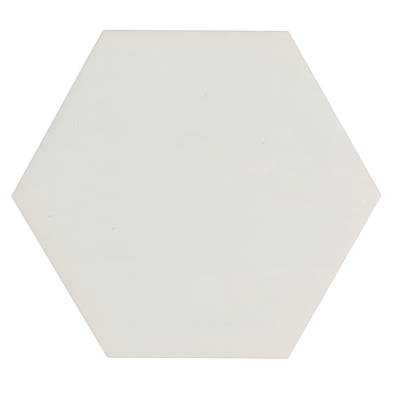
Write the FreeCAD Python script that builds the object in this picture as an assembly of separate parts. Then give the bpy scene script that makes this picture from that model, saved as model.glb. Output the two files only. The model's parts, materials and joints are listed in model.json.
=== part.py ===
import FreeCAD
import Part
import math
import os

# Hexagon floor tile: one flat slab of fired clay, glazed on its face. The clay is extruded as a
# ribbed strip and cut by hand, so no two sides are quite alike, and grooves run right across its
# back to key it into the bedding. It lies on its back with the face up.
# Millimetres, +Z up, +X from corner to corner. The origin is the middle of the underside.

# Slab
ACROSS_FLATS = 200.0  # nominal size, from one side to the opposite one
THICKNESS = 12.0  # from the foot of the ribs to the face

# Cut sides. Each one strays from the true hexagon: outwards in millimetres, and turned in degrees,
# anticlockwise seen from above. They go anticlockwise, from the side that faces 30 degrees above +X.
FIRST_SIDE_FACES = 30.0
SIDE_STRAYS = (
    (-0.7, -0.5),
    (1.3, -0.35),
    (-0.4, 1.1),
    (-1.0, 0.8),
    (1.3, -0.3),
    (-0.3, 0.2),
)
LAND = 3.0  # height of the upright band below the face, where neighbours come closest
UNDERCUT = 0.8  # how far the foot of a side leans in under its land

# Softened edges
ARRIS_RADIUS = 1.0  # round the face
FACE_CORNER_RADIUS = 0.3  # at the six corners of the flat face, inside the arris

# Keying grooves on the back. They are dovetails, wider at the root than at the mouth.
GROOVE_PITCH = 12.0
GROOVE_MOUTH = 5.0
GROOVE_ROOT = 6.4
GROOVE_DEPTH = 1.6
GROOVE_LIP_RADIUS = 0.4  # where a rib's foot turns into the groove
GROOVE_ROOT_RADIUS = 0.6
OUTER_RIB = 6.0  # least width of the plain rib along the two sides beside the grooves

CUTTER_OVERRUN = 5.0  # how far a groove's cutter passes the clay, at its ends and below
SAME_PLACE = 1e-6  # points no further apart than this are one point

NODE = "tile"


def side_line(side, inset):
    """The outward direction of a side, and its distance from the middle, seen from above."""
    stray, turn = SIDE_STRAYS[side]
    step = 360.0 / len(SIDE_STRAYS)
    angle = math.radians(FIRST_SIDE_FACES + side * step + turn)
    reach = ACROSS_FLATS / 2 + stray - inset
    return (math.cos(angle), math.sin(angle)), reach


def corner(side, inset):
    """Where a side meets the next one."""
    (ax, ay), a_reach = side_line(side, inset)
    (bx, by), b_reach = side_line((side + 1) % len(SIDE_STRAYS), inset)
    area = ax * by - ay * bx
    return (a_reach * by - b_reach * ay) / area, (b_reach * ax - a_reach * bx) / area


def middle():
    """The middle of the box that the outline fills."""
    xs, ys = zip(*(corner(side, 0.0) for side in range(len(SIDE_STRAYS))))
    return (min(xs) + max(xs)) / 2, (min(ys) + max(ys)) / 2


def outline(inset, z):
    """The six corners at a height, drawn in from the cut outline and centred on the origin."""
    mid_x, mid_y = middle()
    corners = [corner(side, inset) for side in range(len(SIDE_STRAYS))]
    return [FreeCAD.Vector(x - mid_x, y - mid_y, z) for x, y in corners]


def tangent_length(radius, angle):
    """How far from a corner of the given angle a rounding of it starts."""
    return radius / math.tan(angle / 2)


def rounded_wire(points, radii):
    """A closed wire through the points, each of them rounded by its radius, or sharp where that is 0."""
    count = len(points)
    starts, ends, edges = [], [], []
    for i, (point, radius) in enumerate(zip(points, radii)):
        back = (points[i - 1] - point).normalize()
        ahead = (points[(i + 1) % count] - point).normalize()
        angle = back.getAngle(ahead)
        starts.append(point + back * tangent_length(radius, angle))
        ends.append(point + ahead * tangent_length(radius, angle))
        if radius:
            inward = (back + ahead).normalize()
            crest = point + inward * (radius / math.sin(angle / 2) - radius)
            edges.append(Part.Arc(starts[i], crest, ends[i]).toShape())
    for i in range(count):
        following = starts[(i + 1) % count]
        if not ends[i].isEqual(following, SAME_PLACE):
            edges.append(Part.makeLine(ends[i], following))
    return Part.Wire(Part.sortEdges(edges)[0])


def cut_slab():
    """The slab with a sharp edge round its face: upright at the land, leaning in below it."""
    radii = [FACE_CORNER_RADIUS + ARRIS_RADIUS] * len(SIDE_STRAYS)
    rings = [
        rounded_wire(outline(UNDERCUT, 0.0), radii),
        rounded_wire(outline(0.0, THICKNESS - LAND), radii),
        rounded_wire(outline(0.0, THICKNESS), radii),
    ]
    solid, ruled = True, True
    return Part.makeLoft(rings, solid, ruled)


def borders_the_face(edge):
    return all(abs(vertex.Z - THICKNESS) < SAME_PLACE for vertex in edge.Vertexes)


def soften(slab):
    """Rounds the arris that runs all the way round the face."""
    return slab.makeFillet(ARRIS_RADIUS, [edge for edge in slab.Edges if borders_the_face(edge)])


def groove_section(x, y):
    """One groove's section, across the strip. It opens through the underside."""
    mouth, root = GROOVE_MOUTH / 2, GROOVE_ROOT / 2
    lip = mouth + tangent_length(GROOVE_LIP_RADIUS, math.atan2(GROOVE_DEPTH, root - mouth))
    half_points = [
        (lip, -CUTTER_OVERRUN),
        (lip, 0.0),
        (mouth, 0.0),
        (root, GROOVE_DEPTH),
    ]
    half_radii = [0.0, 0.0, GROOVE_LIP_RADIUS, GROOVE_ROOT_RADIUS]
    right = [FreeCAD.Vector(x, y + across, up) for across, up in half_points]
    left = [FreeCAD.Vector(x, y - across, up) for across, up in reversed(half_points)]
    return Part.Face(rounded_wire(right + left, half_radii + half_radii[::-1]))


def groove_places():
    """How far each groove lies from the middle. They stand in pairs, with a rib on the middle line."""
    usable = ACROSS_FLATS / 2 - UNDERCUT - OUTER_RIB - GROOVE_MOUTH / 2
    pairs = int((usable + GROOVE_PITCH / 2) / GROOVE_PITCH)
    offsets = [(n + 0.5) * GROOVE_PITCH for n in range(pairs)]
    return [-offset for offset in reversed(offsets)] + offsets


def grooves():
    """The cutters for all grooves, each longer than the tile is wide."""
    half_length = max(abs(point.x) for point in outline(0.0, 0.0)) + CUTTER_OVERRUN
    along = FreeCAD.Vector(2 * half_length, 0, 0)
    return [groove_section(-half_length, y).extrude(along) for y in groove_places()]


def tile():
    return soften(cut_slab()).cut(grooves())


def main():
    os.makedirs("parts", exist_ok=True)
    solid = tile()
    solid.exportStep(os.path.join("parts", NODE + ".step"))
    box = solid.BoundBox
    print(NODE, "valid", solid.isValid(), "solids", len(solid.Solids), "faces", len(solid.Faces))
    print("size", round(box.XLength, 2), round(box.YLength, 2), round(box.ZLength, 2))
    print("volume cm3", round(solid.Volume / 1000, 2), "grooves", len(groove_places()))


main()
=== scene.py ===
import json
import math
from collections import namedtuple

import bmesh
import bpy
import numpy as np
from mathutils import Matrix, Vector, noise
from mathutils.geometry import delaunay_2d_cdt


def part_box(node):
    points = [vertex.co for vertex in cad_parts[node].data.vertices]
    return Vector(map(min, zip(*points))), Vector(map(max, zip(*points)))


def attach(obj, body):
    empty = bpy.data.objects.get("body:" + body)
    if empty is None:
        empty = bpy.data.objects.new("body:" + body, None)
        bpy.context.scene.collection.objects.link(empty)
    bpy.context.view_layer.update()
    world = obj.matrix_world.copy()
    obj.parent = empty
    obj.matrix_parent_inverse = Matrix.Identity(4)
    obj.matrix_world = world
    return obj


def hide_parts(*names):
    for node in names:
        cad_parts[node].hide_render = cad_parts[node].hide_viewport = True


# Hexagon floor tile: fired clay, extruded as a ribbed strip, cut by hand and glazed on its face.
# Sizes are in millimetres, and become metres where a mesh, a material or the camera is made. Only the
# lamp's and the floor's are metres from the start.
MM = 0.001
NODE = "tile"
PIECE = "hexagon_tile"

# Form that the mesh shares with the solid it stands for
LAND = 3.0  # upright band of each side, below the face
UNDERCUT = 0.8  # how far the foot of a side leans in
ARRIS_RADIUS = 1.0
FACE_CORNER_RADIUS = 0.3
GROOVE_PITCH = 12.0
GROOVE_MOUTH = 5.0
GROOVE_ROOT = 6.4
GROOVE_DEPTH = 1.6
GROOVE_LIP_RADIUS = 0.4
GROOVE_ROOT_RADIUS = 0.6
GROOVES = 16

# Glaze
FACE_LEVEL = 0.3  # how far the face lies below the top of the box, to leave room for its bumps
SHOULDER_WIDTH = 8.0  # band inside the outline where the face falls to the arris
SHOULDER_FALL = 0.15  # how far it falls
SHOULDER_POWER = 3  # the fall grows with this power of the way outwards
GLAZE_THICKNESS = 0.2  # height of the step where the glaze ends on the clay
GLAZE_BEAD = 0.03  # how far the glaze swells just above its edge
BEAD_HEIGHT = 0.45  # how far above the edge the swelling starts
CLAY_DEPTH = GLAZE_BEAD + GLAZE_THICKNESS  # how far the bare sides lie inside the outline
GLAZE_END = (  # the glaze's rounded end, as height over its edge and depth inside the outline
    (0.2, 0.0),
    (0.05, GLAZE_BEAD * 2),
    (-0.02, GLAZE_THICKNESS * 0.7),
    (-0.05, CLAY_DEPTH),
)
GLAZE_REACH = 4.2  # how far down the sides the glaze runs, on average

# Uneven surfaces: smooth noise with a height, a length of wave along each axis, and a seed
Ripple = namedtuple("Ripple", "height lengths seed")
FACE_WAVES = Ripple(height=0.07, lengths=(48.0, 48.0, 1.0), seed=3.0)
FACE_PUCKERS = Ripple(height=0.012, lengths=(14.0, 14.0, 1.0), seed=7.0)
FACE_STREAKS = Ripple(height=0.003, lengths=(50.0, 3.0, 1.0), seed=11.0)
EDGE_WANDER = Ripple(height=1.1, lengths=(17.0, 17.0, 1.0), seed=0.5)
EDGE_WAVER = Ripple(height=0.4, lengths=(4.5, 4.5, 1.0), seed=5.5)
EDGE_RUNS = Ripple(height=5.0, lengths=(8.0, 8.0, 1.0), seed=9.5)  # here the glaze ran further down
RUN_FLOOR = 1.5  # only what rises above this is a run
CUT_DRAG = Ripple(height=0.08, lengths=(26.0, 26.0, 1.3), seed=0.0)
CUT_SCUFFS = Ripple(height=0.3, lengths=(2.6, 2.6, 0.8), seed=50.0)
SCUFF_FLOOR = 0.1  # only what rises above this is a scuff
BACK_LINES = Ripple(height=0.03, lengths=(70.0, 0.7, 5.0), seed=0.0)
BACK_LUMPS = Ripple(height=0.02, lengths=(6.0, 3.0, 5.0), seed=2.0)
BACK_FLOOR = 0.06  # how far the back lies inside the solid, on average
RIM_PATCHES = Ripple(height=0.6, lengths=(13.0, 13.0, 1.0), seed=21.0)
# uneven strength of the greyer arris line: painted shade and partly worn glaze
WEAR_AND_SHADE_PATCHES = Ripple(height=0.6, lengths=(7.0, 7.0, 1.0), seed=33.0)

# Where the glaze is thin the clay shows through it, as a cream rim of some width. On the arris a greyer
# line is painted: painted shade for the dark outline, partly glaze worn thin. Both are stronger on
# some sides than on others.
Rim = namedtuple("Rim", "cream width wear")
RIMS = {
    "side_upper_right": Rim(cream=0.04, width=12.0, wear=0.72),
    "side_top": Rim(cream=0.12, width=13.0, wear=0.85),
    "side_upper_left": Rim(cream=0.05, width=10.0, wear=0.55),
    "side_lower_left": Rim(cream=0.24, width=13.5, wear=0.0),
    "side_bottom": Rim(cream=0.10, width=12.0, wear=0.62),
    "side_lower_right": Rim(cream=0.05, width=12.0, wear=0.82),
}
RIM_POWER = 3  # how squarely the cream of a rim ends
EDGE_FADE = 0.6  # how far up and down the sides the cream of the glaze's edge fades out

# Broad, faint patches of other tints in the glaze, each strongest in its middle, and turned by degrees.
# Some pale ones and some dull ones along the rims are painted light and painted shade.
Patch = namedtuple("Patch", "x y across along strength turn", defaults=(0,))
PATCHES = {
    "rosy": (
        Patch(x=100, y=10, across=17, along=14, strength=1.1),
        Patch(x=98, y=-22, across=9, along=22, strength=1.5, turn=-30),
        Patch(x=84, y=-50, across=9, along=18, strength=1.6, turn=-30),
        Patch(x=62, y=-82, across=14, along=22, strength=1.2, turn=-30),
        Patch(x=32, y=-93, across=30, along=9, strength=1.2),
        Patch(x=49, y=-86, across=12, along=9, strength=1.2),
        Patch(x=18, y=98, across=36, along=5, strength=0.9),
        Patch(x=59, y=84, across=13, along=13, strength=1.7),
        Patch(x=66, y=-2, across=15, along=5, strength=1.1, turn=10),
        Patch(x=44, y=19, across=16, along=8, strength=0.9, turn=10),
        Patch(x=8, y=34, across=13, along=9, strength=1.0, turn=20),
        Patch(x=33, y=-10, across=12, along=4, strength=1.0),
        Patch(x=17, y=-58, across=9, along=18, strength=1.0),
        Patch(x=44, y=-46, across=13, along=6, strength=1.0),
        Patch(x=42, y=-62, across=26, along=8, strength=0.9),
        Patch(x=-99, y=-5, across=10, along=10, strength=1.0),
    ),
    "yellow": (
        Patch(x=9, y=31, across=16, along=11, strength=1.1),
        Patch(x=45, y=41, across=14, along=7, strength=0.9),
        Patch(x=56, y=74, across=13, along=11, strength=0.9),
        Patch(x=58, y=7, across=16, along=13, strength=0.9),
        Patch(x=29, y=-9, across=10, along=10, strength=0.9),
        Patch(x=12, y=-52, across=9, along=14, strength=1.0),
        Patch(x=48, y=-66, across=27, along=13, strength=0.8),
        Patch(x=2, y=-80, across=28, along=9, strength=0.6),
        Patch(x=82, y=48, across=7, along=20, strength=0.9, turn=29),
        Patch(x=-22, y=94, across=26, along=6, strength=0.8),
        Patch(x=-47, y=95, across=10, along=8, strength=1.3),
        Patch(x=-20, y=-97, across=26, along=6, strength=0.5),
        Patch(x=-87, y=-34, across=7, along=10, strength=1.1, turn=30),
    ),
    "cool": (
        Patch(x=-57, y=46, across=19, along=16, strength=1.1),
        Patch(x=-84, y=-2, across=10, along=9, strength=0.5),
        Patch(x=-62, y=-36, across=24, along=4, strength=0.9),
        Patch(x=-62, y=-55, across=7, along=10, strength=0.8),
        Patch(x=66, y=-29, across=28, along=13, strength=0.8, turn=25),
        Patch(x=79, y=53, across=8, along=22, strength=0.9, turn=29),
        Patch(x=-74, y=70, across=8, along=26, strength=1.2, turn=-29),
    ),
    "pale_and_lit": (
        Patch(x=54, y=-40, across=16, along=18, strength=0.5),
        # these two along the upper right rim: painted light on the shoulder that faces the lamp
        Patch(x=88, y=54, across=7, along=34, strength=1.2, turn=29),
        Patch(x=76, y=64, across=8, along=15, strength=0.8, turn=29),
        # these two inside the top rim: painted light lifting the top shoulder's shade
        Patch(x=-28, y=88, across=25, along=13, strength=0.7),
        Patch(x=20, y=91, across=17, along=7, strength=0.9),
        Patch(x=-27, y=-40, across=9, along=8, strength=0.5),
        Patch(x=6, y=-58, across=14, along=12, strength=0.5),
        Patch(x=-54, y=-92, across=14, along=8, strength=0.7),
        Patch(x=-80, y=18, across=14, along=12, strength=0.3),
        Patch(x=-26, y=9, across=40, along=3, strength=0.5),
    ),
    "dull_and_shaded": (
        Patch(x=-54, y=44, across=15, along=14, strength=0.5),
        Patch(x=-2, y=33, across=20, along=5, strength=0.5),
        Patch(x=28, y=24, across=14, along=9, strength=0.3),
        Patch(x=74, y=29, across=9, along=14, strength=0.5),
        Patch(x=58, y=43, across=12, along=12, strength=0.4),
        Patch(x=56, y=80, across=11, along=6, strength=0.5),
        Patch(x=-58, y=-36, across=22, along=4, strength=0.5),
        Patch(x=-40, y=-46, across=11, along=16, strength=0.3),
        Patch(x=62, y=-4, across=17, along=4, strength=0.2, turn=10),
        Patch(x=6, y=-80, across=48, along=3, strength=0.7),
        Patch(x=-18, y=-90, across=18, along=6, strength=0.3),
        Patch(x=-97, y=-27, across=6, along=7, strength=0.9, turn=30),
        Patch(x=-81, y=-57, across=6, along=7, strength=0.7, turn=30),
        # these two along the top rim and the upper left rim: painted shade on the shoulders turned from
        # the lamp
        Patch(x=0, y=100, across=70, along=3, strength=0.8),
        Patch(x=-82, y=56, across=6, along=56, strength=0.6, turn=-29),
    ),
}

# Fineness of the mesh
ARC_STEPS = 8  # round each corner of the outline
SIDE_STEPS = 112  # along each side
SHOULDER_RINGS = 14
RING_CROWDING = 0.85  # the shoulder's rings lie closer together outwards, as this is below 1
ARRIS_STEPS = 8
GLAZED_RINGS = 5  # on the sides, above the glaze's swelling
CLAY_RINGS = 18  # on the sides, below the glaze
ROW_STEPS = 58  # along each row of the back
FOOT_STEPS = 4  # across the foot of each rib
OUTER_RIB_STEPS = 5  # across the plain rib beside the outer grooves
ROOF_STEPS = 3  # from a groove's middle to the rounding of its root
ROOT_STEPS = 4  # round that
LIP_STEPS = 3  # round a groove's lip
FACE_SPACING = 1.9  # between the face's points
FIELD_REACH = 1.2  # how far they go at first, past the corners, in distances of a side
MARK_RINGS = 10  # of points over each mark
MARK_SPAN = 1.6  # how far those rings reach, in the mark's larger radius
MARK_RING_BASE, MARK_RING_STEP = 6, 3  # points in the nth of those rings: the base and n steps
STRIP_TOP = GROOVE_DEPTH + 0.6  # top of the strip of the sides that the grooves' ends cut into
SHARP_ANGLE = 38  # degrees between two faces, above which their edge looks sharp

GLAZED, CUT, RIBBED = range(3)  # finishes: glaze, wire-cut side, extruded back

# Marks on the face: pinholes, a burst bubble and grit. A mark with a negative height is a dimple, and
# any other a bump. It may have a raised rim.
Mark = namedtuple("Mark", "x y across along turn height rim", defaults=(0, 0.0, 0.0))
MARKS = (
    Mark(x=5.5, y=61.0, across=1.4, along=3.0, turn=-20, height=-0.16),
    Mark(x=4.35, y=60.6, across=0.5, along=1.7, turn=16, height=0.17),
    Mark(x=2.9, y=62.3, across=0.6, along=1.3, turn=45, height=0.11),
    Mark(x=5.9, y=64.4, across=0.85, along=0.85, height=-0.10, rim=0.07),
    Mark(x=1.6, y=60.8, across=3.2, along=2.8, height=-0.055),
    Mark(x=41.1, y=31.4, across=1.1, along=0.75, height=-0.24),
    Mark(x=41.3, y=33.2, across=0.8, along=0.65, height=0.12),
    Mark(x=40.2, y=34.7, across=2.7, along=0.9, height=0.055),
    Mark(x=42.8, y=32.8, across=2.2, along=2.4, height=-0.09),
    Mark(x=39.6, y=32.9, across=1.1, along=1.4, height=-0.06),
    Mark(x=-90.6, y=-13.7, across=2.8, along=1.3, height=-0.20),
    Mark(x=-90.6, y=-15.5, across=2.8, along=0.6, height=0.10),
    Mark(x=-90.4, y=-12.0, across=1.6, along=0.6, height=0.035),
    Mark(x=-93.8, y=-15.6, across=0.5, along=0.5, height=-0.20),
    Mark(x=-93.8, y=-14.1, across=0.5, along=0.7, height=0.06),
    Mark(x=-51.75, y=-21.25, across=0.85, along=0.7, height=-0.42),
    Mark(x=-50.9, y=-21.1, across=0.9, along=0.45, height=-0.12),
    Mark(x=-50.2, y=-22.3, across=1.4, along=0.7, height=0.09),
    Mark(x=-75.65, y=44.0, across=0.8, along=0.7, height=-0.22),
    Mark(x=-76.7, y=44.0, across=0.55, along=0.8, height=0.14),
    Mark(x=-74.6, y=44.0, across=0.55, along=0.8, height=0.14),
    Mark(x=70.2, y=8.5, across=1.6, along=0.6, height=-0.10),
    Mark(x=69.9, y=6.6, across=2.8, along=1.3, height=0.035),
    Mark(x=103.4, y=-4.8, across=0.8, along=2.0, height=0.11),
    Mark(x=105.6, y=-4.7, across=0.8, along=1.8, height=-0.07),
    Mark(x=-9.9, y=24.6, across=0.8, along=1.0, height=0.03),
    Mark(x=-8.1, y=25.2, across=1.0, along=1.5, height=-0.07),
    Mark(x=10.9, y=-18.7, across=1.7, along=0.7, height=0.04),
    Mark(x=10.6, y=-20.4, across=1.3, along=0.8, height=-0.07),
)
RIM_PLACE, RIM_SPREAD = 1.1, 0.3  # where a mark's raised rim stands, and its width, in radii
MARK_REACH = 2.0  # how far a mark with its rim reaches, in radii
PAINTED_BUMP_HIGHLIGHT = (0.01, 0.14)  # heights from which a bump gets a painted highlight, and at which it is brightest
STAINED_AND_SHADED_DIMPLE = (-0.03, -0.5)  # heights from which a dimple is stained and given painted shade, and at which it is darkest


def direction(angle):
    return np.array((math.cos(angle), math.sin(angle)))


Side = namedtuple("Side", "angle reach rim")


class Plan:
    """The tile seen from above: six cut sides, anticlockwise from the first one after +X."""

    def __init__(self, record):
        sides = []
        for mount in record["mounts"]:
            if mount["name"] in RIMS:
                (nx, ny, _), (x, y, _) = mount["axis"], mount["pos_m"]
                reach = (nx * x + ny * y) / MM
                sides.append(Side(math.atan2(ny, nx) % math.tau, reach, RIMS[mount["name"]]))
        self.sides = sorted(sides)
        first_again = self.sides[0]._replace(angle=self.sides[0].angle + math.tau)
        self.pairs = list(zip(self.sides, self.sides[1:] + [first_again]))
        self.outward = self.directions()
        self.cut = self.ring(0.0, FACE_CORNER_RADIUS + ARRIS_RADIUS)
        gaps = np.linalg.norm(np.roll(self.cut, -1, axis=0) - self.cut, axis=1)
        self.length = gaps.sum()
        self.along = np.cumsum(gaps) - gaps

    def directions(self):
        """The outward direction at each point of a ring."""
        found = []
        for side, after in self.pairs:
            found += [direction(angle) for angle in np.linspace(side.angle, after.angle, ARC_STEPS + 1)]
            found += [direction(after.angle)] * (SIDE_STEPS - 1)
        return np.array(found)

    def ring(self, inset, radius):
        """Points round the outline, drawn in by the inset, with its corners rounded."""
        arcs = []
        for side, after in self.pairs:
            normals = np.array((direction(side.angle), direction(after.angle)))
            centre = np.linalg.solve(normals, np.array((side.reach, after.reach)) - inset - radius)
            angles = np.linspace(side.angle, after.angle, ARC_STEPS + 1)
            arcs.append([centre + radius * direction(angle) for angle in angles])
        points = []
        for arc, following in zip(arcs, arcs[1:] + arcs[:1]):
            points += arc
            points += list(np.linspace(arc[-1], following[0], SIDE_STEPS + 1)[1:-1])
        return np.array(points)

    def drawn_in(self, depth):
        """The outline's points moved inwards, each by its own depth or all by one."""
        return self.cut - self.outward * np.reshape(depth, (-1, 1))

    def insets(self, points):
        """How far points lie inside each side."""
        normals = np.array([direction(side.angle) for side in self.sides])
        return np.array([side.reach for side in self.sides]) - np.asarray(points) @ normals.T


def ripple(wave, x, y, z=0.0):
    lx, ly, lz = wave.lengths
    return wave.height * noise.noise(Vector((x / lx, y / ly, z / lz + wave.seed)))


def radii_from(spot, x, y):
    """How far a point is from the middle of a mark or patch, in its own radii."""
    turn = math.radians(spot.turn)
    dx, dy = x - spot.x, y - spot.y
    across = (dx * math.cos(turn) + dy * math.sin(turn)) / spot.across
    along = (dy * math.cos(turn) - dx * math.sin(turn)) / spot.along
    return math.hypot(across, along)


def mark_height(mark, x, y):
    radii = radii_from(mark, x, y)
    if radii > MARK_REACH:
        return 0.0
    dome = max(0.0, 1 - radii**2) ** 2 * mark.height
    return dome + mark.rim * math.exp(-(((radii - RIM_PLACE) / RIM_SPREAD) ** 2))


def marked(x, y):
    """How far the marks raise the face here."""
    return sum(mark_height(mark, x, y) for mark in MARKS)


def tinted(patches, x, y):
    """How strong the patches of one tint are here."""
    return sum(patch.strength * math.exp(-(radii_from(patch, x, y) ** 2)) for patch in patches)


def face_relief(x, y):
    """Height of the glazed face above its mean level."""
    waves = sum(ripple(wave, x, y) for wave in (FACE_WAVES, FACE_PUCKERS, FACE_STREAKS))
    return waves + marked(x, y)


def cut_relief(x, y, z):
    """Depth of the drag marks and scuffs that the cut left on a side."""
    drag = CUT_DRAG.height + ripple(CUT_DRAG, x, y, z)
    return drag + max(0.0, ripple(CUT_SCUFFS, x, y, z) - SCUFF_FLOOR)


def back_relief(x, y, z):
    """Depth of the fine lines that the die drew along the back."""
    return BACK_FLOOR + ripple(BACK_LINES, x, y, z) + ripple(BACK_LUMPS, x, y, z)


def glaze_edge(x, y, thickness):
    """Height at which the glaze ends on the side below this point of the outline."""
    wander = ripple(EDGE_WANDER, x, y) + ripple(EDGE_WAVER, x, y)
    runs = max(0.0, ripple(EDGE_RUNS, x, y) - RUN_FLOOR)
    return thickness - GLAZE_REACH + wander - runs


def thinness(plan, thickness, points):
    """At each point, from 0 where the glaze is thick to 1 at its edge. Just below the edge it is how
    near the bare clay is to the glaze."""
    cream, widths, _ = zip(*(side.rim for side in plan.sides))
    insets = np.maximum(plan.insets(points[:, :2]), 0.0)
    rims = np.exp(-((insets / widths) ** RIM_POWER)) @ cream
    found = []
    for (x, y, z), rim in zip(points, rims):
        above = z - glaze_edge(x, y, thickness)
        patchy = max(0.0, rim * (1 + ripple(RIM_PATCHES, x, y))) if above > 0 else 0.0
        found.append(min(1.0, patchy + math.exp(-abs(above) / EDGE_FADE)))
    return found


def worn_and_shaded(plan, thickness, points):
    """At each point, how strong the greyer line on the arris is, painted shade and partly worn glaze:
    most in the middle of it.
    """
    way = (thickness - FACE_LEVEL - SHOULDER_FALL - points[:, 2]) / ARRIS_RADIUS
    crest = np.sin(math.pi * np.clip(way, 0.0, 1.0))
    nearest = plan.insets(points[:, :2]).argmin(axis=1)
    wear = np.array([side.rim.wear for side in plan.sides])[nearest]
    uneven = [1 + ripple(WEAR_AND_SHADE_PATCHES, x, y) for x, y, _ in points]
    return wear * crest * uneven


class Shell:
    """The tile's closed surface, put together from loops and rows of points."""

    def __init__(self):
        self.points = []
        self.faces = []
        self.finishes = []

    def add(self, flat, heights):
        """Adds points over places on the plan, and gives their numbers."""
        start = len(self.points)
        self.points += [(x, y, z) for (x, y), z in zip(flat, heights)]
        return list(range(start, len(self.points)))

    def close(self, corners, finish):
        self.faces.append(tuple(corners))
        self.finishes.append(finish)

    def band(self, loop, other, finish):
        """Quads between two closed loops of as many points."""
        for i in range(len(loop)):
            self.close((loop[i - 1], loop[i], other[i], other[i - 1]), finish)

    def patch(self, numbers, flat, boundary, finish):
        """Triangles over points given flat, inside a boundary of the first so many of them."""
        edges = [(i, (i + 1) % boundary) for i in range(boundary)]
        places = [Vector(point) for point in flat]
        inside, same_place = 1, 1e-7
        _, _, triangles, origins, _, _ = delaunay_2d_cdt(places, edges, [], inside, same_place)
        sources = [numbers[origin[0]] for origin in origins]
        for corners in triangles:
            self.close([sources[i] for i in corners], finish)


def span(mark):
    """How far the rings of points over a mark reach."""
    return max(mark.across, mark.along) * MARK_SPAN


def mark_points(mark):
    """Rings of points over a mark and a little past it, each ring turned by a radian from the last."""
    points = [(mark.x, mark.y)]
    for n in range(1, MARK_RINGS + 1):
        count = MARK_RING_BASE + MARK_RING_STEP * n
        for angle in np.arange(count) * math.tau / count + n:
            points.append(np.array((mark.x, mark.y)) + direction(angle) * span(mark) * n / MARK_RINGS)
    return points


def face_points(plan, inset):
    """An even field of points inside the outline drawn in by the inset, closer together at marks."""
    far = max(side.reach for side in plan.sides) * FIELD_REACH
    field = []
    for row, y in enumerate(np.arange(-far, far, FACE_SPACING * math.sqrt(3) / 2)):
        shift = FACE_SPACING / 2 * (row % 2)
        field += [(x + shift, y) for x in np.arange(-far, far, FACE_SPACING)]
    for mark in sorted(MARKS, key=span, reverse=True):
        clear = span(mark) * (1 + 1 / MARK_RINGS)
        field = [p for p in field if math.hypot(p[0] - mark.x, p[1] - mark.y) > clear]
        field += mark_points(mark)
    field = np.array(field)
    return field[plan.insets(field).min(axis=1) > inset]


def shoulder_ring(plan, share):
    """Points round the shoulder, from its inner border, where the share is 0, to the arris at 1."""
    run_in = (SHOULDER_WIDTH - ARRIS_RADIUS) * (1 - share)
    return plan.ring(ARRIS_RADIUS + run_in, FACE_CORNER_RADIUS + run_in / 2)


def add_face(shell, plan, thickness):
    """The glazed face with its shoulder. Gives the loop at the start of the arris."""
    level = thickness - FACE_LEVEL
    loops = []
    for share in np.linspace(0.0, 1.0, SHOULDER_RINGS + 1) ** RING_CROWDING:
        run = shoulder_ring(plan, share)
        fall = SHOULDER_FALL * share**SHOULDER_POWER
        loops.append(shell.add(run, [level - fall + face_relief(x, y) for x, y in run]))
    for inner, outer in zip(loops, loops[1:]):
        shell.band(inner, outer, GLAZED)
    border = shoulder_ring(plan, 0.0)
    field = face_points(plan, SHOULDER_WIDTH + FACE_SPACING / 2)
    inside = shell.add(field, [level + face_relief(x, y) for x, y in field])
    shell.patch(loops[0] + inside, np.concatenate((border, field)), len(border), GLAZED)
    return loops[-1]


def add_arris(shell, plan, thickness, loop):
    """The rounded edge from the face down to the sides. Gives its lowest loop."""
    level = thickness - FACE_LEVEL - SHOULDER_FALL
    for angle in np.linspace(0.0, math.pi / 2, ARRIS_STEPS + 1)[1:]:
        run = plan.drawn_in(ARRIS_RADIUS - (ARRIS_RADIUS - GLAZE_BEAD) * math.sin(angle))
        drop = ARRIS_RADIUS * (1 - math.cos(angle))
        below = shell.add(run, [level - drop + face_relief(x, y) * math.cos(angle) for x, y in run])
        shell.band(loop, below, GLAZED)
        loop = below
    return loop


def side_inset(height, thickness):
    """How far a side lies inside the outline at a height."""
    return UNDERCUT * np.clip((thickness - LAND - height) / (thickness - LAND), 0.0, 1.0)


def add_sides(shell, plan, thickness, loop):
    """The glazed upper part of the sides and the cut clay below. Gives the lowest loop."""
    top = thickness - FACE_LEVEL - SHOULDER_FALL - ARRIS_RADIUS
    edge = np.array([glaze_edge(x, y, thickness) for x, y in plan.cut])
    bead = edge + BEAD_HEIGHT
    levels = [(top + (bead - top) * n / GLAZED_RINGS, GLAZE_BEAD) for n in range(1, GLAZED_RINGS + 1)]
    levels += [(edge + rise, depth) for rise, depth in GLAZE_END]
    for heights, depth in levels:
        below = shell.add(plan.drawn_in(side_inset(heights, thickness) + depth), heights)
        shell.band(loop, below, GLAZED)
        loop = below
    clay_top = levels[-1][0]
    for n in range(1, CLAY_RINGS + 1):
        heights = clay_top + (STRIP_TOP - clay_top) * n / CLAY_RINGS
        rough = [cut_relief(x, y, z) for (x, y), z in zip(plan.cut, heights)]
        depth = side_inset(heights, thickness) + CLAY_DEPTH + rough
        below = shell.add(plan.drawn_in(depth), heights)
        shell.band(loop, below, CUT)
        loop = below
    return loop


def arc_points(centre, radius, start, end, steps):
    """Points on an arc in the plane of a section, by angles in degrees."""
    angles = np.radians(np.linspace(start, end, steps + 1))
    return [(centre[0] + radius * math.cos(a), centre[1] + radius * math.sin(a)) for a in angles]


def half_groove():
    """One half of a groove's section as (distance from its middle, height), from root to lip."""
    mouth, root = GROOVE_MOUTH / 2, GROOVE_ROOT / 2
    flank = math.atan2(GROOVE_DEPTH, root - mouth)
    lean = math.degrees(flank)
    root_centre = (root - GROOVE_ROOT_RADIUS / math.tan(flank / 2), GROOVE_DEPTH - GROOVE_ROOT_RADIUS)
    lip_centre = (mouth + GROOVE_LIP_RADIUS / math.tan(flank / 2), GROOVE_LIP_RADIUS)
    root_arc = arc_points(root_centre, GROOVE_ROOT_RADIUS, 90, lean - 90, ROOT_STEPS)
    lip_arc = arc_points(lip_centre, GROOVE_LIP_RADIUS, 90 + lean, 270, LIP_STEPS)
    roof = [(across, GROOVE_DEPTH) for across in np.linspace(0.0, root_arc[0][0], ROOF_STEPS + 1)[:-1]]
    return roof + root_arc + lip_arc


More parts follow.
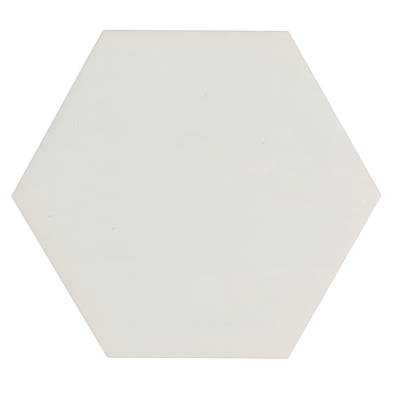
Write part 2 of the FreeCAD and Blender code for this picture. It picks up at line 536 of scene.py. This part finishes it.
def groove_rows():
    """The rows over all grooves as (y, height), from +Y to -Y."""
    half = half_groove()
    section = half[::-1] + [(-across, up) for across, up in half[1:]]
    lip = half[-1][0]
    rows = []
    for n in range(GROOVES):
        middle = ((GROOVES - 1) / 2 - n) * GROOVE_PITCH
        if rows:
            rows += [(y, 0.0) for y in np.linspace(rows[-1][0], middle + lip, FOOT_STEPS + 1)[1:-1]]
        rows += [(middle + across, up) for across, up in section]
    return rows


# A row of the back, and each of its ends with its distance along the outline
Row = namedtuple("Row", "left right height")
End = namedtuple("End", "x y along")


class Flank:
    """Where the back's rows end: one flank of the outline, from the top side to the bottom one."""

    def __init__(self, plan, thickness, numbers, along):
        self.cut = plan.cut[numbers]
        self.outward = plan.outward[numbers]
        self.along = along
        self.thickness = thickness

    def line(self, height):
        """The flank's points drawn in to the bare clay at a height."""
        return self.cut - self.outward * (side_inset(height, self.thickness) + CLAY_DEPTH)

    def at_point(self, number):
        """The end of the row at one of the flank's own points, at foot level."""
        return End(*self.line(0.0)[number], self.along[number])

    def at(self, y, height):
        """The end of the row at a distance from the middle line."""
        xs, ys = self.line(height)[::-1].T
        return End(np.interp(y, ys, xs), y, np.interp(y, ys, self.along[::-1]))


def outer_rib(left, right, start, end):
    """The rows between two others, across the plain rib beside an outer groove."""
    rows = []
    for share in np.linspace(0.0, 1.0, OUTER_RIB_STEPS + 1)[1:-1]:
        left_y = start.left.y + (end.left.y - start.left.y) * share
        right_y = start.right.y + (end.right.y - start.right.y) * share
        rows.append(Row(left.at(left_y, 0.0), right.at(right_y, 0.0), 0.0))
    return rows


def back_rows(plan, thickness):
    """All rows of the back, from the top side to the bottom one."""
    # Numbers of the outline's points at the ends of the top side and of the bottom side
    step = ARC_STEPS + SIDE_STEPS
    top_right, top_left = ARC_STEPS, step
    bottom_left, bottom_right = 3 * step + ARC_STEPS, 4 * step

    numbers = np.arange(top_left, bottom_left + 1)
    left = Flank(plan, thickness, numbers, plan.along[numbers])
    numbers = np.arange(top_right, bottom_right - len(plan.cut) - 1, -1)
    right = Flank(plan, thickness, numbers, plan.along[numbers] - plan.length * (numbers < 0))

    arc = range(ARC_STEPS + 1)
    top = [Row(left.at_point(k), right.at_point(k), 0.0) for k in arc]
    bottom = [Row(left.at_point(-1 - k), right.at_point(-1 - k), 0.0) for k in arc]
    inner = [Row(left.at(y, up), right.at(y, up), up) for y, up in groove_rows()]
    rib_above = outer_rib(left, right, top[-1], inner[0])
    rib_below = outer_rib(left, right, bottom[-1], inner[-1])
    return top + rib_above + inner + rib_below[::-1] + bottom[::-1]


def add_back(shell, plan, thickness, upper):
    """The ribbed back, and the strip of the sides that the grooves' ends cut into."""
    rows = back_rows(plan, thickness)
    grid = []
    for left, right, height in rows:
        run = np.linspace(left[:2], right[:2], ROW_STEPS + 1)
        grid.append(shell.add(run, [height + back_relief(x, y, height) for x, y in run]))
    for row, below in zip(grid, grid[1:]):
        for j in range(ROW_STEPS):
            shell.close((row[j], row[j + 1], below[j + 1], below[j]), RIBBED)
    add_strip(shell, plan, rows, grid, upper)


def add_strip(shell, plan, rows, grid, upper):
    """Closes the sides between their lowest loop and the ends of the back's rows. Flat, it is a strip
    by distance along the outline, from the right end of the top side all the way round to it again."""
    first, last = rows[0], rows[-1]
    over_top = np.linspace(first.right.along, first.left.along, ROW_STEPS + 1)
    over_bottom = np.linspace(last.left.along, last.right.along + plan.length, ROW_STEPS + 1)
    lower = [(number, (along, 0.0)) for number, along in zip(grid[0][::-1], over_top)]
    lower += [(run[0], (row.left.along, row.height)) for row, run in zip(rows[1:-1], grid[1:-1])]
    lower += [(number, (along, 0.0)) for number, along in zip(grid[-1], over_bottom)]
    for row, run in zip(rows[-2::-1], grid[-2::-1]):
        lower.append((run[-1], (row.right.along + plan.length, row.height)))
    start = ARC_STEPS
    above = [(number, (along, STRIP_TOP)) for number, along in zip(upper, plan.along)]
    again = [(number, (along + plan.length, up)) for number, (along, up) in above[: start + 1]]
    border = lower + (above[start:] + again)[::-1]
    numbers, flat = zip(*border)
    shell.patch(numbers, flat, len(border), CUT)


def build_tile(record, thickness):
    """The whole tile as one closed mesh, with the values that its finishes read at each point."""
    plan = Plan(record)
    shell = Shell()
    loop = add_face(shell, plan, thickness)
    loop = add_arris(shell, plan, thickness, loop)
    loop = add_sides(shell, plan, thickness, loop)
    add_back(shell, plan, thickness, loop)
    points = np.array(shell.points)
    mesh = bpy.data.meshes.new(PIECE)
    mesh.from_pydata(points * MM, [], shell.faces)
    mesh.polygons.foreach_set("material_index", shell.finishes)
    values = {
        "thin": thinness(plan, thickness, points),
        "worn_and_shaded": worn_and_shaded(plan, thickness, points),
        "marks": [marked(x, y) for x, y, _ in points],
    }
    for tint, patches in PATCHES.items():
        values[tint] = [tinted(patches, x, y) for x, y, _ in points]
    for name, found in values.items():
        mesh.attributes.new(name, "FLOAT", "POINT").data.foreach_set("value", found)
    work = bmesh.new()
    work.from_mesh(mesh)
    bmesh.ops.recalc_face_normals(work, faces=work.faces)
    open_edges = sum(not edge.is_manifold for edge in work.edges)
    work.to_mesh(mesh)
    work.free()
    print("tile mesh", len(mesh.vertices), "points", len(mesh.polygons), "faces", open_edges, "open edges")
    mesh.shade_smooth()
    mesh.set_sharp_from_angle(angle=math.radians(SHARP_ANGLE))
    return bpy.data.objects.new(PIECE, mesh)


def srgb(red, green, blue):
    """Linear colour from the usual 0 to 255."""
    parts = (part / 255 for part in (red, green, blue))
    return tuple(p / 12.92 if p <= 0.04045 else ((p + 0.055) / 1.055) ** 2.4 for p in parts) + (1.0,)


# Colours
GLAZE = srgb(223.7, 221.3, 217.3)
GLAZE_TINTS = {
    "rosy": srgb(227, 221.6, 216.6),
    "yellow": srgb(223.5, 221.3, 213.8),
    "cool": srgb(221.4, 221.6, 217.6),
    # pale and dull also carry painted light and painted shade along some rims
    "pale_and_lit": srgb(227, 224.8, 220.6),
    "dull_and_shaded": srgb(220, 217.8, 213.7),
}
GLAZE_SHADE = srgb(219.5, 217.8, 213.5)
GLAZE_CREAM = srgb(228, 219, 195)
# grey of the arris line: painted shade for the dark outline, partly glaze worn thin
GLAZE_WORN_AND_SHADED = srgb(187, 186, 183)
# painted highlight on the raised marks
GLAZE_PAINTED_HIGHLIGHT = srgb(240, 238, 234)
# brown of a deep mark: a stain of the body, and painted shade in the dimple
GLAZE_STAIN_AND_SHADE = srgb(140, 130, 118)
CLAY_BUFF = srgb(205, 190, 167)
CLAY_PALE = srgb(216, 204, 185)
CLAY_DEEP = srgb(191, 171, 144)
CLAY_FLASHED = srgb(196, 160, 122)
CLAY_GRIT = (  # size in millimetres, share of the cells, strength and colour
    (0.5, 0.30, 0.50, srgb(228, 219, 203)),
    (0.7, 0.12, 0.45, srgb(168, 140, 110)),
    (1.2, 0.03, 0.60, srgb(138, 110, 84)),
    (0.5, 0.03, 0.80, srgb(96, 74, 58)),
)

# Patterns in the finishes
PATTERN_SHIFT = (17.37, 9.61, 5.23)  # between one pattern and the next, in the pattern's own lengths
USUAL = (0.3, 0.7)  # the range that smooth noise seldom leaves
WANDER_WAVES = 2.0  # of the noise that bends cells, to a cell
GRAIN_BEND = 1.2  # how far grains are bent, in cells
GRAIN_EDGE = (0.3, 0.42)  # where a grain starts to fade and ends, in cells from its middle
STEP_WIDTH = 0.001  # of a sudden change
MIX_FACTOR, MIX_COLORS, MIX_RESULT = 0, (6, 7), 2  # sockets of a Mix node for colours


class Finish:
    """A material being put together. Lengths are in millimetres, and noise runs from 0 to 1."""

    def __init__(self, name):
        self.material = bpy.data.materials.new(name)
        self.material.use_nodes = True
        self.nodes = self.material.node_tree.nodes
        self.links = self.material.node_tree.links
        self.shader = self.nodes["Principled BSDF"]
        self.place = self.nodes.new("ShaderNodeTexCoord").outputs["Object"]
        self.last_bump = None
        self.patterns = 0

    def scaled(self, lengths):
        """The place on the tile in these lengths. Each pattern starts at a place of its own."""
        self.patterns += 1
        mapping = self.nodes.new("ShaderNodeMapping")
        mapping.inputs["Location"].default_value = (Vector(PATTERN_SHIFT) * self.patterns)[:]
        mapping.inputs["Scale"].default_value = [1 / (length * MM) for length in lengths]
        self.links.new(self.place, mapping.inputs["Vector"])
        return mapping.outputs["Vector"]

    def noise(self, lengths, detail=0.0):
        """Smooth noise with its own length of wave along each axis."""
        texture = self.nodes.new("ShaderNodeTexNoise")
        texture.inputs["Scale"].default_value = 1.0
        texture.inputs["Detail"].default_value = detail
        self.links.new(self.scaled(lengths), texture.inputs["Vector"])
        return texture.outputs["Fac"]

    def cells(self, size, bent=0.0):
        """Cells of about this size with their middles scattered, and bent out of shape this much."""
        place = self.scaled((size,) * 3)
        if bent:
            wander = self.nodes.new("ShaderNodeTexNoise")
            wander.inputs["Scale"].default_value = WANDER_WAVES
            self.links.new(place, wander.inputs["Vector"])
            moved = self.nodes.new("ShaderNodeVectorMath")
            moved.operation = "MULTIPLY_ADD"
            moved.inputs[1].default_value = (bent,) * 3
            self.links.new(wander.outputs["Color"], moved.inputs[0])
            self.links.new(place, moved.inputs[2])
            place = moved.outputs["Vector"]
        texture = self.nodes.new("ShaderNodeTexVoronoi")
        texture.inputs["Scale"].default_value = 1.0
        self.links.new(place, texture.inputs["Vector"])
        return texture.outputs

    def grains(self, size, share, strength):
        """Above 0 in scattered, uneven grains up to about this size: this share of all cells has one."""
        cells = self.cells(size, bent=GRAIN_BEND)
        chance = self.nodes.new("ShaderNodeSeparateColor")
        self.links.new(cells["Color"], chance.inputs["Color"])
        chosen = self.turned(chance.outputs["Red"], (1.0 - share, 1.0 - share + STEP_WIDTH))
        grain = self.turned(cells["Distance"], GRAIN_EDGE, (strength, 0.0))
        return self.product(chosen, grain)

    def specks(self, spacing, radius):
        """1 in the middle of scattered round specks, falling to 0 at their edges."""
        return self.turned(self.cells(spacing)["Distance"], (0.0, radius / spacing), (1.0, 0.0))

    def attribute(self, name):
        node = self.nodes.new("ShaderNodeAttribute")
        node.attribute_name = name
        return node.outputs["Fac"]

    def turned(self, value, given, wanted=(0.0, 1.0)):
        """A value moved from one range to another, and held inside it."""
        node = self.nodes.new("ShaderNodeMapRange")
        ends = ("From Min", "From Max", "To Min", "To Max")
        for name, end in zip(ends, given + wanted):
            node.inputs[name].default_value = end
        self.links.new(value, node.inputs["Value"])
        return node.outputs["Result"]

    def product(self, a, b):
        """One value times another."""
        node = self.nodes.new("ShaderNodeMath")
        node.operation = "MULTIPLY"
        self.links.new(a, node.inputs[0])
        self.links.new(b, node.inputs[1])
        return node.outputs[0]

    def blend(self, share, a, b):
        """A colour between two, each of them plain or another blend's result."""
        node = self.nodes.new("ShaderNodeMix")
        node.data_type = "RGBA"
        self.links.new(share, node.inputs[MIX_FACTOR])
        for color, place in zip((a, b), MIX_COLORS):
            if isinstance(color, tuple):
                node.inputs[place].default_value = color
            else:
                self.links.new(color, node.inputs[place])
        return node.outputs[MIX_RESULT]

    def bump(self, height, depth):
        """Adds fine relief to the shader, on top of what is there: raised, or sunk by a negative depth."""
        node = self.nodes.new("ShaderNodeBump")
        node.inputs["Distance"].default_value = depth * MM
        self.links.new(height, node.inputs["Height"])
        if self.last_bump:
            self.links.new(self.last_bump, node.inputs["Normal"])
        self.last_bump = node.outputs["Normal"]
        self.links.new(self.last_bump, self.shader.inputs["Normal"])

    def set(self, name, value):
        self.links.new(value, self.shader.inputs[name])


def glaze_material():
    """Satin off-white glaze, faintly clouded and brushed: cream where it is thin, with a painted highlight
    where a mark stands up in it, and brown where one goes deep, as a stain with painted shade. The greyer
    line on the arris is painted shade and partly worn glaze, and some pale and dull patches along the rims
    are painted light and painted shade."""
    glaze = Finish("off_white_glaze")
    color = GLAZE
    # the pale and dull tints also paint light and shade along some rims
    for tint, tinted_glaze in GLAZE_TINTS.items():
        ragged = glaze.turned(glaze.noise((14, 7, 7), detail=4.0), USUAL, (0.0, 2.0))
        strength = glaze.product(glaze.attribute(tint), ragged)
        color = glaze.blend(glaze.turned(strength, (0.1, 1.0)), color, tinted_glaze)
    mottle = glaze.turned(glaze.noise((14, 8, 8), detail=3.0), USUAL, (0.0, 0.45))
    color = glaze.blend(mottle, color, GLAZE_SHADE)
    brushed = glaze.turned(glaze.noise((38, 30, 30)), (0.5, 0.75))
    streaks = glaze.turned(glaze.noise((50, 4, 4), detail=2.0), (0.45, 0.75), (0.0, 0.45))
    color = glaze.blend(glaze.product(brushed, streaks), color, GLAZE_SHADE)
    uneven = glaze.turned(glaze.noise((8, 8, 8), detail=4.0), USUAL, (0.6, 1.4))
    thin = glaze.product(glaze.attribute("thin"), uneven)
    color = glaze.blend(thin, color, GLAZE_CREAM)
    # painted shade along the arris, partly worn glaze
    color = glaze.blend(glaze.attribute("worn_and_shaded"), color, GLAZE_WORN_AND_SHADED)
    marks = glaze.attribute("marks")
    # painted highlight where a mark stands up
    color = glaze.blend(glaze.turned(marks, PAINTED_BUMP_HIGHLIGHT), color, GLAZE_PAINTED_HIGHLIGHT)
    # stain and painted shade where a mark goes deep
    color = glaze.blend(glaze.turned(marks, STAINED_AND_SHADED_DIMPLE, (0.0, 0.45)), color, GLAZE_STAIN_AND_SHADE)
    glaze.set("Base Color", color)
    glaze.set("Roughness", glaze.turned(glaze.noise((9, 9, 9), detail=3.0), (0.25, 0.75), (0.29, 0.35)))
    glaze.bump(glaze.noise((1.3, 1.3, 1.3)), depth=0.004)
    glaze.bump(glaze.specks(spacing=5.5, radius=0.16), depth=-0.03)
    return glaze.material


def clay_colors(clay, streaks, contrast):
    """Buff clay: streaked with this contrast, clouded, and full of fine light and dark grit."""
    middle = 0.5
    streaked = clay.turned(streaks, USUAL, (middle - contrast / 2, middle + contrast / 2))
    color = clay.blend(streaked, CLAY_PALE, CLAY_BUFF)
    clouds = clay.turned(clay.noise((16, 14, 14), detail=4.0), (0.45, 0.75), (0.0, 0.5))
    color = clay.blend(clouds, color, CLAY_DEEP)
    for size, share, strength, grit in CLAY_GRIT:
        color = clay.blend(clay.grains(size, share, strength), color, grit)
    return color


def cut_clay_material():
    """Bare clay where the wire dragged through it, flashed a little by the kiln next to the glaze."""
    clay = Finish("cut_clay")
    streaks = clay.noise((30, 30, 0.6), detail=2.0)
    color = clay_colors(clay, streaks, contrast=1.0)
    near_glaze = clay.turned(clay.attribute("thin"), (0.0, 1.0), (0.0, 0.6))
    clay.set("Base Color", clay.blend(near_glaze, color, CLAY_FLASHED))
    clay.set("Roughness", clay.turned(clay.noise((2, 2, 2)), USUAL, (0.85, 0.95)))
    clay.bump(streaks, depth=0.2)
    clay.bump(clay.noise((0.5, 0.5, 0.5), detail=3.0), depth=0.1)
    clay.bump(clay.specks(spacing=2.1, radius=0.3), depth=-0.12)
    return clay.material


def ribbed_clay_material():
    """Bare clay that the die drew smooth, with fine lines along the ribs."""
    clay = Finish("extruded_clay")
    streaks = clay.noise((60, 0.8, 3), detail=2.0)
    clay.set("Base Color", clay_colors(clay, streaks, contrast=0.5))
    clay.set("Roughness", clay.turned(clay.noise((3, 3, 3)), USUAL, (0.8, 0.92)))
    clay.bump(streaks, depth=0.05)
    clay.bump(clay.noise((0.5, 0.5, 0.5), detail=3.0), depth=0.05)
    return clay.material


# Camera: it looks straight down, as the photograph does.
PHOTO_SIZE = 400  # pixels
PHOTO_MIDDLE = (196.40, 194.24)  # pixel at the middle of the tile's outline
PHOTO_SCALE = 0.6177  # millimetres for each pixel at the outline
LENS = 100.0
SENSOR = 36.0


def add_camera(thickness):
    data = bpy.data.cameras.new("camera")
    data.lens, data.sensor_width = LENS, SENSOR
    camera = bpy.data.objects.new("camera", data)
    distance = PHOTO_SCALE * PHOTO_SIZE * LENS / SENSOR
    x = (PHOTO_SIZE / 2 - PHOTO_MIDDLE[0]) * PHOTO_SCALE
    y = (PHOTO_MIDDLE[1] - PHOTO_SIZE / 2) * PHOTO_SCALE
    camera.location = Vector((x, y, thickness - ARRIS_RADIUS + distance)) * MM
    bpy.context.collection.objects.link(camera)
    bpy.context.scene.camera = camera


def add_softbox(name, azimuth, elevation, distance, size, share):
    """A square lamp aimed at the tile. Its share is what it adds to the light on the face, where 1
    shows a colour as it is written. Turned straight to the lamp, a surface gets a share of its watts
    over (pi * distance)**2. Angles are in degrees, distance and size in metres."""
    azimuth, elevation = math.radians(azimuth), math.radians(elevation)
    data = bpy.data.lights.new(name, "AREA")
    data.shape, data.size = "SQUARE", size
    data.energy = share * (math.pi * distance) ** 2 / math.sin(elevation)
    lamp = bpy.data.objects.new(name, data)
    flat = distance * math.cos(elevation)
    lamp.location = (flat * math.cos(azimuth), flat * math.sin(azimuth), distance * math.sin(elevation))
    lamp.rotation_euler = (-lamp.location).to_track_quat("-Z", "Y").to_euler()
    lamp.visible_camera = False
    bpy.context.collection.objects.link(lamp)


def seen_directly(nodes, links):
    """1 for what the camera, a reflection or a clear material sees, and 0 for scattered light."""
    path = nodes.new("ShaderNodeLightPath")
    total = path.outputs["Is Camera Ray"]
    for name in ("Is Glossy Ray", "Is Transmission Ray"):
        either = nodes.new("ShaderNodeMath")
        either.operation = "MAXIMUM"
        links.new(total, either.inputs[0])
        links.new(path.outputs[name], either.inputs[1])
        total = either.outputs[0]
    return total


def set_world(ambient):
    """White to the camera, and an even, weaker light to the tile."""
    world = bpy.data.worlds.new("studio")
    world.use_nodes = True
    nodes, links = world.node_tree.nodes, world.node_tree.links
    background = nodes["Background"]
    background.inputs["Color"].default_value = (1.0, 1.0, 1.0, 1.0)
    strength = nodes.new("ShaderNodeMix")
    strength.inputs["A"].default_value, strength.inputs["B"].default_value = ambient, 1.0
    links.new(seen_directly(nodes, links), strength.inputs["Factor"])
    links.new(strength.outputs["Result"], background.inputs["Strength"])
    bpy.context.scene.world = world


# Floor
FLOOR_HALF = 6.0  # half its width, in metres
FLOOR_GREY = (0.2, 0.2, 0.2, 1.0)  # its colour to scattered light
FLOOR_WHITE = (0.25, 0.25, 0.25, 1.0)  # the part of its seen white that takes shadow
FLOOR_GLOW = 0.84  # the part that takes none


def floor_material():
    """Grey to the light that it throws back, and white with a faint shadow to the camera."""
    material = bpy.data.materials.new("studio_floor")
    material.use_nodes = True
    nodes, links = material.node_tree.nodes, material.node_tree.links
    nodes.remove(nodes["Principled BSDF"])
    grey = nodes.new("ShaderNodeBsdfDiffuse")
    grey.inputs["Color"].default_value = FLOOR_GREY
    white = nodes.new("ShaderNodeBsdfDiffuse")
    white.inputs["Color"].default_value = FLOOR_WHITE
    glow = nodes.new("ShaderNodeEmission")
    glow.inputs["Strength"].default_value = FLOOR_GLOW
    both, chosen = nodes.new("ShaderNodeAddShader"), nodes.new("ShaderNodeMixShader")
    links.new(white.outputs[0], both.inputs[0])
    links.new(glow.outputs[0], both.inputs[1])
    links.new(seen_directly(nodes, links), chosen.inputs[0])
    links.new(grey.outputs[0], chosen.inputs[1])
    links.new(both.outputs[0], chosen.inputs[2])
    links.new(chosen.outputs[0], nodes["Material Output"].inputs["Surface"])
    return material


def add_floor():
    mesh = bpy.data.meshes.new("floor")
    half = FLOOR_HALF
    corners = [(-half, -half, 0), (half, -half, 0), (half, half, 0), (-half, half, 0)]
    mesh.from_pydata(corners, [], [(0, 1, 2, 3)])
    mesh.materials.append(floor_material())
    floor = bpy.data.objects.new("floor", mesh)
    bpy.context.collection.objects.link(floor)


bpy.context.scene.view_settings.view_transform = "Standard"
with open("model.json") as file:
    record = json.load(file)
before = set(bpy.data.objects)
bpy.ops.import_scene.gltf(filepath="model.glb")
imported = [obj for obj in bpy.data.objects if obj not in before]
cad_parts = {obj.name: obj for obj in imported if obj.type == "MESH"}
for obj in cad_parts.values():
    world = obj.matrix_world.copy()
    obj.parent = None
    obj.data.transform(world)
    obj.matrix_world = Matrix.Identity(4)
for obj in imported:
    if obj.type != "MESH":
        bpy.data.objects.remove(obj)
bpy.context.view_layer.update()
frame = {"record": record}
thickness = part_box(NODE)[1].z / MM

tile = build_tile(frame["record"], thickness)
bpy.context.collection.objects.link(tile)
for material in (glaze_material(), cut_clay_material(), ribbed_clay_material()):
    tile.data.materials.append(material)
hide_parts(NODE)
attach(tile, "root")

add_camera(thickness)
add_softbox("key", azimuth=-10, elevation=45, distance=1.55, size=0.6, share=0.18)
set_world(ambient=0.818)
add_floor()
